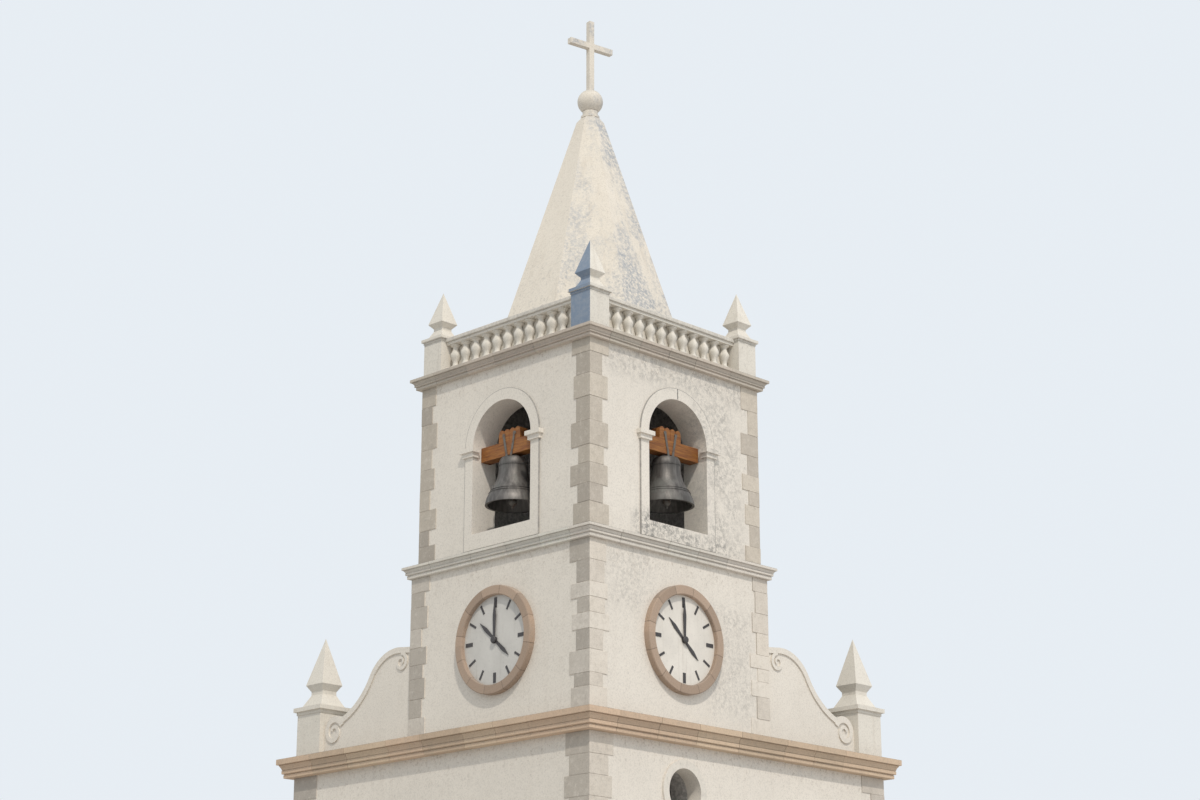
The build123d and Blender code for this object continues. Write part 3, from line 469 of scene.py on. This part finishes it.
def dial_face():
    graph = Graph("dial_face")
    broad = graph.noise(1.7, 6.0, 0.65)
    fine = graph.noise(24.0, 6.0, 0.7)
    tone = graph.mix(graph.ramp(broad, 0.4, 0.62), shade(DIAL, 0.93), shade(DIAL, 1.04))
    tone = graph.mix(graph.times(graph.ramp(fine, 0.58, 0.68), 0.30), tone, GREY_STAIN)
    runs = graph.noise(1.0, 4.0, 0.6, graph.stretched((16.0, 16.0, 0.8)))
    tone = graph.mix(graph.times(graph.ramp(runs, 0.58, 0.74), 0.25), tone, BROWN_STAIN)
    tone = graph.mix(graph.looks_front(-0.75, -0.35), tone, graph.multiplied(tone, DIAL_FRONT_SHADE))
    return graph.finish(tone, 0.6, fine, 0.15, 0.004)


def black_paint():
    graph = Graph("black_paint")
    fine = graph.noise(40.0, 6.0, 0.7)
    tone = graph.mix(graph.times(graph.ramp(fine, 0.58, 0.70), 0.5), BLACK, WORN_BLACK)
    return graph.finish(tone, graph.ramp(fine, 0.3, 0.7, 0.42, 0.7), fine, 0.2, 0.003)


def old_bronze():
    graph = Graph("old_bronze")
    runs = graph.noise(1.0, 6.0, 0.65, graph.stretched((13.0, 13.0, 1.3)))
    cloudy = graph.noise(3.2, 7.0, 0.7)
    fine = graph.noise(55.0, 5.0, 0.7)
    tone = graph.mix(graph.ramp(runs, 0.42, 0.64), shade(BRONZE, 0.75), shade(BRONZE, 1.35))
    tone = graph.mix(graph.times(graph.ramp(cloudy, 0.50, 0.66), 0.55), tone, BRONZE_GREEN)
    tone = graph.mix(graph.times(graph.ramp(fine, 0.58, 0.7), 0.4), tone, shade(BRONZE, 0.4))
    roughness = graph.ramp(cloudy, 0.35, 0.65, 0.42, 0.62)
    return graph.finish(tone, roughness, graph.plus(fine, runs), 0.18, 0.004, 0.55)


def forged_iron():
    graph = Graph("forged_iron")
    cloudy = graph.noise(9.0, 7.0, 0.7)
    fine = graph.noise(70.0, 5.0, 0.7)
    tone = graph.mix(graph.ramp(cloudy, 0.50, 0.66), IRON, RUST)
    tone = graph.mix(graph.times(graph.ramp(fine, 0.56, 0.68), 0.5), tone, shade(IRON, 0.5))
    roughness = graph.ramp(cloudy, 0.4, 0.6, 0.55, 0.85)
    return graph.finish(tone, roughness, graph.plus(fine, cloudy), 0.4, 0.003, 0.3)


def timber(name, grain, light, dark):
    """Oiled timber with its grain where the noise scale is small, and fine cracks along it."""
    graph = Graph(name)
    flow = graph.noise(1.0, 7.0, 0.62, graph.stretched(grain))
    wide = graph.noise(2.3, 4.0, 0.6, graph.stretched(shade(grain, 0.25)))
    fine = graph.noise(3.0, 6.0, 0.7, graph.stretched(grain))
    tone = graph.mix(graph.ramp(flow, 0.36, 0.64), shade(dark, 1.6), light)
    tone = graph.mix(graph.times(graph.ramp(wide, 0.5, 0.62), 0.45), tone, dark)
    tone = graph.mix(graph.times(graph.ramp(fine, 0.56, 0.68), 0.5), tone, shade(dark, 0.45))
    height = graph.plus(flow, graph.times(fine, 0.8))
    return graph.finish(tone, graph.ramp(flow, 0.3, 0.7, 0.70, 0.52), height, 0.5, 0.006)


def rough_floor():
    """Screed on the slabs, darkened in the rooms as painted shade."""
    graph = Graph("rough_screed")
    tone, height, _ = weather(graph, FLOOR_STONE, 0.7, 0.0, 0.4, 1.0)
    # Painted shade: the slabs inside the rooms are darkened.
    dark = graph.greatest(graph.within(BELFRY_ROOM), graph.within(BASE_ROOM))
    tone = graph.mix(dark, tone, shade(FLOOR_STONE, 0.30))
    return graph.finish(tone, 0.95, height, 0.6, 0.015)


def materials():
    """Materials by the record's slot, and those of the pieces that differ from their slot's."""
    return {
        "white_plaster": limewash(),
        "pale_quoin_stone": stone("grey_corner_stone", GREY_STONE, 0.20, 0.66),
        "beige_quoin_stone": stone("beige_corner_stone", BEIGE_STONE),
        "sandstone": course("sandstone_course", SANDSTONE),
        "pale_moulding": moulding(),
        "weathered_moulding": course("weathered_course", WEATHERED, 0.12),
        "floor_stone": rough_floor(),
        "clock_ring_stone": ring_stone(),
        "clock_dial": dial_face(),
        "black_metal": black_paint(),
        "bell_bronze": old_bronze(),
        "dark_iron": forged_iron(),
        "headstock_wood": timber("beam_timber", BEAM_GRAIN, WOOD, WOOD_DARK),
        "door_wood": timber("door_timber", DOOR_GRAIN, DOOR_WOOD, shade(DOOR_WOOD, 0.4)),
        "spire_render": spire_coat(),
        "clock_stage_stone": stone("clock_stage_stone", shade(GREY_STONE, 1.10), 0.16, 0.55),
        "oculus_stone": stone("oculus_stone", shade(PALE_MOULDING, 0.90)),
        "arch_coat": arch_coat(),
        "pale_course": course("pale_course", shade(PALE_MOULDING, 0.93), 0.08, 0.88),
    }


def paint(node, material):
    nodes[node].data.materials.clear()
    nodes[node].data.materials.append(material)


def dress_nodes(coats):
    for part in frame["record"]["subparts"]:
        paint(part["node"], coats[part["material_slot"]])
    paint("oculus_surround", coats["oculus_stone"])
    paint("arch_surrounds", coats["arch_coat"])


def new_piece(name, grid, material, node):
    """Object from a bmesh, on the tower in a node's stead."""
    mesh = bpy.data.meshes.new(name)
    grid.to_mesh(mesh)
    grid.free()
    piece = bpy.data.objects.new(name, mesh)
    bpy.context.scene.collection.objects.link(piece)
    mesh.materials.append(material)
    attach(piece, "tower")
    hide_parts(node)


def side_places(centre, offset):
    """Frames of the four sides of a square round centre, each with its origin at offset."""
    for turn in range(4):
        rotation = Matrix.Rotation(radians(90 * turn), 4, "Z")
        yield Matrix.Translation(centre) @ rotation @ Matrix.Translation(offset)


def once(items):
    """Items in order, each once, so that every run gives the same mesh."""
    return list(dict.fromkeys(items))


# Corner stones
QUOIN_PROUD = 0.015
STONE_DEPTH = 0.05
STONE_JOINT = 0.003
STONE_BEVEL = 0.006
STONE_UNEVENNESS = 0.0015
STONE_SETBACK = 0.006
STONE_HEIGHT_SPREAD = (0.72, 1.28)
STONE_REACH_SPREAD = (0.78, 1.0)
EDGE_ROUNDING = 0.6
STAGES = (
    {
        "name": "base_corner_stones",
        "centre": BLOCK,
        "half": BASE_HALF,
        "level": 0.0,
        "height": BASE_CORNICE,
        "count": 21,
        "long": 0.600,
        "short": 0.430,
        "tones": (0.15, 0.9),
        "coat": "pale_quoin_stone",
        "slot": "pale_quoin_stone",
        "node": "base_quoins",
    },
    {
        "name": "clock_stage_corner_stones",
        "centre": TOWER,
        "half": CLOCK_HALF,
        "level": TERRACE,
        "height": MID_CORNICE - TERRACE,
        "count": 9,
        "long": 0.450,
        "short": 0.325,
        "tones": (0.0, 0.8),
        "coat": "clock_stage_stone",
        "slot": "pale_quoin_stone",
        "node": "clock_stage_quoins",
    },
    {
        "name": "bell_stage_corner_stones",
        "centre": TOWER,
        "half": BELL_HALF,
        "level": BELFRY,
        "height": TOP_CORNICE - BELFRY,
        "count": 9,
        "long": 0.430,
        "short": 0.300,
        "tones": (0.25, 1.0),
        "coat": "beige_quoin_stone",
        "slot": "beige_quoin_stone",
        "node": "belfry_quoins",
    },
)


def corner_stone(grid, layer, place, reach, foot, head, proud, own):
    """One L-shaped stone at the +X, -Y corner of a stage, in the corner's own axes."""
    reach_x, reach_y = reach
    plan = [
        (proud, -proud),
        (proud, reach_y),
        (-STONE_DEPTH, reach_y),
        (-STONE_DEPTH, STONE_DEPTH),
        (-reach_x, STONE_DEPTH),
        (-reach_x, -proud),
    ]
    low = [grid.verts.new((x, y, foot)) for x, y in plan]
    high = [grid.verts.new((x, y, head)) for x, y in plan]
    faces = [grid.faces.new(list(reversed(low))), grid.faces.new(high)]
    for index in range(len(plan)):
        after = (index + 1) % len(plan)
        faces.append(grid.faces.new((low[index], low[after], high[after], high[index])))
    edges = once(edge for face in faces for edge in face.edges)
    result = bmesh.ops.bevel(
        grid, geom=edges, offset=STONE_BEVEL, segments=2, affect="EDGES", profile=EDGE_ROUNDING
    )
    for vertex in once(vertex for face in result["faces"] for vertex in face.verts):
        vertex.co += Vector([random.uniform(-STONE_UNEVENNESS, STONE_UNEVENNESS) for axis in range(3)])
        vertex.co.x = min(vertex.co.x, QUOIN_PROUD)
        vertex.co.y = max(vertex.co.y, -QUOIN_PROUD)
        vertex.co = place @ vertex.co
        vertex[layer] = own


def corner_stones(
    coats, name, centre, half, level, height, count, long, short, tones, coat, slot, node
):
    """All corner stones of one stage, long and short in turn."""
    grid = bmesh.new()
    layer = grid.verts.layers.float.new("own")
    for place in side_places(centre, (half, -half, level)):
        weights = [random.uniform(*STONE_HEIGHT_SPREAD) for index in range(count)]
        scale = height / sum(weights)
        foot = 0.0
        for index, weight in enumerate(weights):
            head = foot + weight * scale
            size = long if index % 2 == 0 else short
            reach = [size * random.uniform(*STONE_REACH_SPREAD) for axis in range(2)]
            proud = QUOIN_PROUD - random.uniform(0.0, STONE_SETBACK)
            own = random.uniform(*tones)
            bottom = foot + STONE_JOINT / 2
            top = head - STONE_JOINT / 2
            corner_stone(grid, layer, place, reach, bottom, top, proud, own)
            foot = head
    new_piece(name, grid, coats[coat], node)


# Moulded courses
SEAM = 0.006
RING_SPACING = 0.22
BLOCK_SETBACK = 0.004
COURSE_UNEVENNESS = 0.0015
FIRST_BLOCK_SPREAD = (0.45, 0.75)
BLOCK_SPREAD = (0.75, 1.25)
LAST_BLOCK = 0.35
HOLLOW_STEPS = 6
HOLLOW_POWER = 1.6
COURSES = (
    {
        "name": "base_course",
        "centre": BLOCK,
        "half": BASE_HALF,
        "level": BASE_CORNICE,
        "height": TERRACE - BASE_CORNICE,
        "bearing": 0.450,
        "setback": 0.0,
        "length": 0.93,
        "lower": ((0.138, 0.000), (0.144, 0.006), (0.144, 0.056), (0.134, 0.062), (0.134, 0.067)),
        "middle": ((0.164, 0.072), (0.170, 0.078), (0.170, 0.128), (0.158, 0.134)),
        "cove": ((0.168, 0.140), (0.206, 0.214)),
        "quirk": ((0.206, 0.218), (0.196, 0.220), (0.196, 0.226)),
        "fascia": ((0.236, 0.226), (0.240, 0.231), (0.240, 0.316), (0.234, 0.322)),
        "coat": "sandstone",
        "slot": "sandstone",
        "node": "base_cornice",
    },
    {
        "name": "mid_course",
        "centre": TOWER,
        "half": CLOCK_HALF,
        "level": MID_CORNICE,
        "height": BELFRY - MID_CORNICE,
        "bearing": 0.370,
        "setback": 0.070,
        "length": 0.86,
        "lower": ((0.062, 0.000), (0.068, 0.006), (0.068, 0.050), (0.060, 0.055), (0.060, 0.060)),
        "middle": ((0.084, 0.064), (0.090, 0.069), (0.090, 0.098), (0.082, 0.103)),
        "cove": ((0.090, 0.107), (0.112, 0.143)),
        "quirk": ((0.112, 0.146), (0.104, 0.147), (0.104, 0.151)),
        "fascia": ((0.131, 0.151), (0.135, 0.155), (0.135, 0.190), (0.130, 0.196)),
        "coat": "pale_course",
        "slot": "pale_moulding",
        "node": "mid_cornice",
    },
    {
        "name": "top_course",
        "centre": TOWER,
        "half": BELL_HALF,
        "level": TOP_CORNICE,
        "height": ROOF - TOP_CORNICE,
        "bearing": 0.330,
        "setback": 0.0,
        "length": 0.78,
        "lower": ((0.082, 0.000), (0.088, 0.005), (0.088, 0.040), (0.080, 0.045), (0.080, 0.049)),
        "middle": ((0.104, 0.052), (0.110, 0.057), (0.110, 0.078), (0.102, 0.083)),
        "cove": ((0.110, 0.086), (0.138, 0.126)),
        "quirk": ((0.138, 0.129), (0.128, 0.130), (0.128, 0.134)),
        "fascia": ((0.161, 0.134), (0.165, 0.138), (0.165, 0.180), (0.160, 0.185)),
        "coat": "weathered_moulding",
        "slot": "weathered_moulding",
        "node": "top_cornice",
    },
)


def hollow(foot, head):
    """Shallow hollow that leans out more towards its head."""
    run = head[0] - foot[0]
    rise = head[1] - foot[1]
    shares = [step / HOLLOW_STEPS for step in range(HOLLOW_STEPS + 1)]
    return [(foot[0] + run * share**HOLLOW_POWER, foot[1] + rise * share) for share in shares]


class Course:
    """Rings of vertices across a moulded course, in order round its stage."""

    def __init__(self, outline, half, bearing):
        self.outline = outline
        self.half = half
        self.inner_limit = half - bearing - 0.01
        self.grid = bmesh.new()
        self.own_layer = self.grid.verts.layers.float.new("own")
        self.seam_layer = self.grid.verts.layers.float.new("seam")
        self.rings = []
        self.own = random.random()
        self.sunk = 0.0

    def next_block(self):
        self.own = random.random()
        self.sunk = -random.uniform(0.0, BLOCK_SETBACK)

    def ring(self, place, along, seam=0.0):
        """Ring at a place along a side, or on the mitre at the side's start where along is None."""
        made = []
        for out, up in self.outline:
            if out > 0:
                out += self.sunk - random.uniform(0.0, COURSE_UNEVENNESS) - SEAM * seam
            if along is None:
                spot = (-self.half - out, -out, up)
            else:
                limit = self.inner_limit if out < 0 else self.half
                spot = (max(-limit, min(limit, along)), -out, up)
            vertex = self.grid.verts.new(place @ Vector(spot))
            vertex[self.own_layer] = self.own
            vertex[self.seam_layer] = seam
            made.append(vertex)
        self.rings.append(made)

    def close(self):
        """Faces between the rings, the last of which joins the first."""
        for ring, next_ring in zip(self.rings, self.rings[1:] + self.rings[:1]):
            for index in range(len(self.outline)):
                after = (index + 1) % len(self.outline)
                self.grid.faces.new((ring[index], ring[after], next_ring[after], next_ring[index]))
        bmesh.ops.recalc_face_normals(self.grid, faces=self.grid.faces)


def moulded_course(
    coats, name, centre, half, level, height, bearing, setback, length,
    lower, middle, cove, quirk, fascia, coat, slot, node
):
    """Course of mitred blocks with grooved seams round a square stage.

    Its profile's rows are (projection, height) from the foot up: two bands, a hollow, a quirk and a fascia.
    """
    top = ((-setback, height), (-bearing, height))
    outline = [(-bearing, 0.0), *lower, *middle, *hollow(*cove), *quirk, *fascia, *top]
    blocks = Course(outline, half, bearing)
    for place in side_places(centre, (0, -half, level)):
        blocks.ring(place, None)
        reached = -half
        cut = -half + length * random.uniform(*FIRST_BLOCK_SPREAD)
        while cut < half - LAST_BLOCK * length:
            steps = max(2, round((cut - reached) / RING_SPACING))
            for step in range(1, steps):
                blocks.ring(place, reached + (cut - reached) * step / steps)
            blocks.ring(place, cut - SEAM)
            blocks.ring(place, cut, 1.0)
            blocks.next_block()
            blocks.ring(place, cut + SEAM)
            reached = cut
            cut += length * random.uniform(*BLOCK_SPREAD)
    blocks.close()
    new_piece(name, blocks.grid, coats[coat], node)


# Balustrade
RAIL_RUN = 3.110
RAIL_PLANE = -1.770
BALUSTERS = 12
BALUSTER_FOOT = 0.085
BALUSTER_HEIGHT = 0.420
BALUSTER_SIDES = 24
# Depth, height, centre and bevel of the foot rail, the top rail's two parts and the closing panel
RAILS = (
    (0.230, 0.085, (0, 0, 0.0425), 0.010),
    (0.200, 0.050, (0, 0, 0.530), 0.006),
    (0.260, 0.065, (0, 0, 0.5875), 0.012),
    (0.020, 0.440, (0, 0.060, 0.295), 0.002),
)
# Share of the baluster's height, and radius
BALUSTER_PROFILE = (
    (0.000, 0.088),
    (0.060, 0.088),
    (0.085, 0.076),
    (0.120, 0.056),
    (0.190, 0.046),
    (0.270, 0.048),
    (0.350, 0.060),
    (0.440, 0.079),
    (0.530, 0.088),
    (0.600, 0.086),
    (0.680, 0.070),
    (0.760, 0.052),
    (0.830, 0.045),
    (0.880, 0.050),
    (0.920, 0.066),
    (0.945, 0.088),
    (1.000, 0.088),
)


def baluster(grid, place):
    """Turned baluster on its foot."""
    rings = []
    for share, radius in BALUSTER_PROFILE:
        ring = []
        for step in range(BALUSTER_SIDES):
            angle = 2 * pi * step / BALUSTER_SIDES
            spot = Vector((radius * cos(angle), radius * sin(angle), share * BALUSTER_HEIGHT))
            ring.append(grid.verts.new(place @ spot))
        rings.append(ring)
    for lower, upper in zip(rings, rings[1:]):
        for step in range(BALUSTER_SIDES):
            after = (step + 1) % BALUSTER_SIDES
            face = grid.faces.new((lower[step], lower[after], upper[after], upper[step]))
            face.smooth = True
    grid.faces.new(list(reversed(rings[0])))
    grid.faces.new(rings[-1])


def block(grid, place, size, centre, bevel):
    """Box with bevelled edges."""
    matrix = place @ Matrix.Translation(centre) @ Matrix.Diagonal((*size, 1.0))
    made = bmesh.ops.create_cube(grid, size=1.0, matrix=matrix)
    edges = once(edge for vertex in made["verts"] for edge in vertex.link_edges)
    bmesh.ops.bevel(grid, geom=edges, offset=bevel, segments=2, affect="EDGES", profile=EDGE_ROUNDING)


def balustrade(coats):
    grid = bmesh.new()
    for place in side_places(TOWER + Vector((0, 0, ROOF)), (0, RAIL_PLANE, 0)):
        for depth, height, centre, bevel in RAILS:
            block(grid, place, (RAIL_RUN, depth, height), centre, bevel)
        for index in range(BALUSTERS):
            across = (index + 0.5) * RAIL_RUN / BALUSTERS - RAIL_RUN / 2
            baluster(grid, place @ Matrix.Translation((across, 0, BALUSTER_FOOT)))
    new_piece("balustrade", grid, coats["pale_moulding"], "roof_balustrade")


def camera():
    data = bpy.data.cameras.new("camera")
    data.lens = LENS
    data.sensor_width = SENSOR_WIDTH
    data.clip_end = VIEW_DEPTH
    view = bpy.data.objects.new("camera", data)
    view.location = CAMERA_PLACE
    view.rotation_euler = (radians(90 + CAMERA_PITCH), 0, radians(CAMERA_HEADING))
    bpy.context.scene.collection.objects.link(view)
    bpy.context.scene.camera = view


def sun():
    data = bpy.data.lights.new("key", "SUN")
    data.energy = SUN_STRENGTH
    data.angle = radians(SUN_ANGLE)
    data.color = SUN_COLOUR
    lamp = bpy.data.objects.new("key", data)
    lamp.rotation_euler = Vector(SUN_DIRECTION).to_track_quat("Z", "Y").to_euler()
    bpy.context.scene.collection.objects.link(lamp)


def surroundings():
    """World that fills the shade, and that the camera sees as a plain backdrop."""
    world = bpy.data.worlds.new("studio")
    world.use_nodes = True
    bpy.context.scene.world = world
    tree = world.node_tree
    tree.nodes.clear()
    fill = tree.nodes.new("ShaderNodeBackground")
    fill.inputs["Color"].default_value = (*FILL_COLOUR, 1)
    fill.inputs["Strength"].default_value = FILL_STRENGTH
    seen = tree.nodes.new("ShaderNodeBackground")
    seen.inputs["Color"].default_value = (*BACKGROUND_COLOUR, 1)
    path = tree.nodes.new("ShaderNodeLightPath")
    mix = tree.nodes.new("ShaderNodeMixShader")
    tree.links.new(path.outputs["Is Camera Ray"], mix.inputs[0])
    tree.links.new(fill.outputs[0], mix.inputs[1])
    tree.links.new(seen.outputs[0], mix.inputs[2])
    out = tree.nodes.new("ShaderNodeOutputWorld")
    tree.links.new(mix.outputs[0], out.inputs[0])


def floor():
    mesh = bpy.data.meshes.new("floor")
    corners = [
        (-FLOOR_HALF, -FLOOR_HALF, 0),
        (FLOOR_HALF, -FLOOR_HALF, 0),
        (FLOOR_HALF, FLOOR_HALF, 0),
        (-FLOOR_HALF, FLOOR_HALF, 0),
    ]
    mesh.from_pydata(corners, [], [(0, 1, 2, 3)])
    plane = bpy.data.objects.new("floor", mesh)
    bpy.context.scene.collection.objects.link(plane)
    graph = Graph("studio_floor")
    seen = graph.add("ShaderNodeLightPath").outputs["Is Camera Ray"]
    mesh.materials.append(graph.finish(graph.mix(seen, FLOOR_LIT, FLOOR_SEEN), 0.9))


random.seed(1407)
coats = materials()
dress_nodes(coats)
for stage in STAGES:
    corner_stones(coats, **stage)
for row in COURSES:
    moulded_course(coats, **row)
balustrade(coats)
camera()
sun()
surroundings()
floor()
bpy.context.scene.view_settings.view_transform = "Standard"
